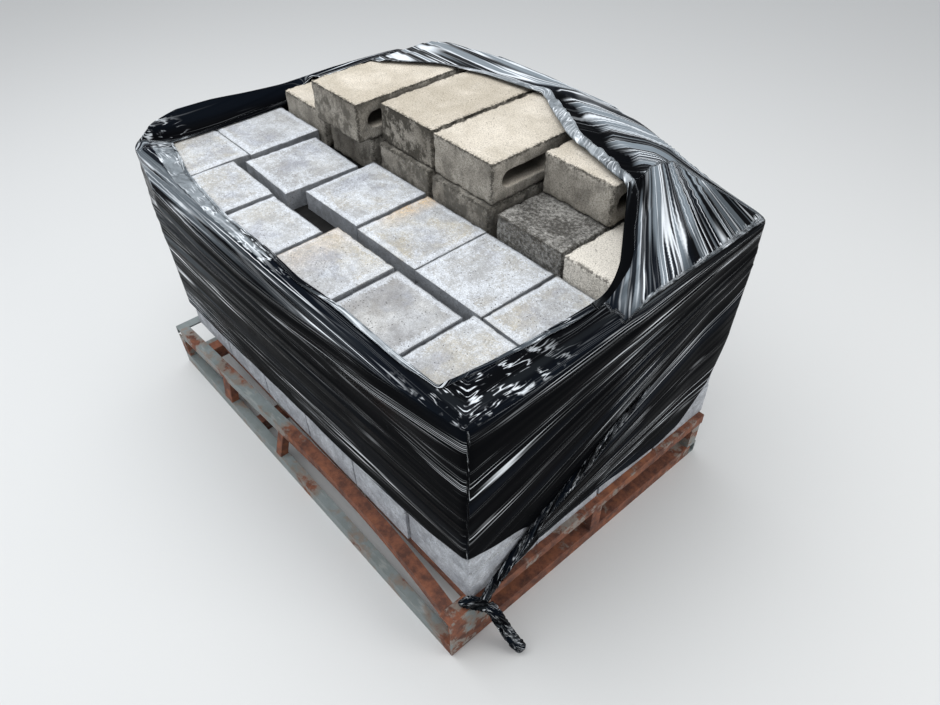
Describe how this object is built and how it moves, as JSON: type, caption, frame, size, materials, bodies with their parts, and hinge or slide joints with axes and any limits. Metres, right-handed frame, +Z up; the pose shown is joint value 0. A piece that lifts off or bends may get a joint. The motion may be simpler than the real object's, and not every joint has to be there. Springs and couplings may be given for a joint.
{
  "type": "pallet of concrete pavers",
  "caption": "Steel stacking pallet loaded with square concrete pavers and hollow blocks, bound with black stretch film that is tied off at one corner.",
  "frame": {"origin": "on the floor, at the middle of the steel pallet's footprint", "axes": "+X along the pallet's long side, +Y from the low front rows of pavers to the blocks at the back, +Z up"},
  "size_m": [1.3776, 0.8941, 0.843],
  "materials": {
    "paver_concrete": "matt cast concrete",
    "block_concrete": "rough sandy concrete",
    "painted_steel": "worn paint over rust",
    "wrap_film": "glossy creased film"
  },
  "bodies": {
    "root": {"film_knot": "wrap_film", "film_rope": "wrap_film", "film_tail": "wrap_film", "half_block": "block_concrete", "hollow_block_lower_1": "block_concrete", "hollow_block_lower_2": "block_concrete", "hollow_block_lower_3": "block_concrete", "hollow_block_lower_4": "block_concrete", "hollow_block_lower_5": "block_concrete", "hollow_block_lower_6": "block_concrete", "hollow_block_upper_left": "block_concrete", "hollow_block_upper_middle": "block_concrete", "hollow_block_upper_right": "block_concrete", "pallet_back_bottom_rail": "painted_steel", "pallet_back_corner_post": "painted_steel", "pallet_back_left_post": "painted_steel", "pallet_back_middle_post": "painted_steel", "pallet_back_runner_left": "painted_steel", "pallet_back_runner_right": "painted_steel", "pallet_back_top_rail": "painted_steel", "pallet_bottom_cross_bar": "painted_steel", "pallet_cross_bar": "painted_steel", "pallet_deck_bar_1": "painted_steel", "pallet_deck_bar_2": "painted_steel", "pallet_deck_bar_3": "painted_steel", "pallet_deck_bar_4": "painted_steel", "pallet_front_bottom_rail": "painted_steel", "pallet_front_corner_plate": "painted_steel", "pallet_front_corner_post": "painted_steel", "pallet_front_left_post": "painted_steel", "pallet_front_middle_post": "painted_steel", "pallet_front_runner_left": "painted_steel", "pallet_front_runner_right": "painted_steel", "pallet_front_top_rail": "painted_steel", "pallet_left_end_bottom_rail": "painted_steel", "pallet_left_end_middle_post": "painted_steel", "pallet_left_end_top_bar": "painted_steel", "pallet_right_back_corner_post": "painted_steel", "pallet_right_end_bottom_rail": "painted_steel", "pallet_right_end_middle_post": "painted_steel", "pallet_right_end_top_bar": "painted_steel", "paver_layer_1": "paver_concrete", "paver_layer_2": "paver_concrete", "paver_layer_3": "paver_concrete", "paver_layer_4": "paver_concrete", "paver_stack_core": "paver_concrete", "stretch_film": "wrap_film", "top_pavers_front_row": "paver_concrete", "top_pavers_second_row": "paver_concrete"}
  },
  "joints": []
}
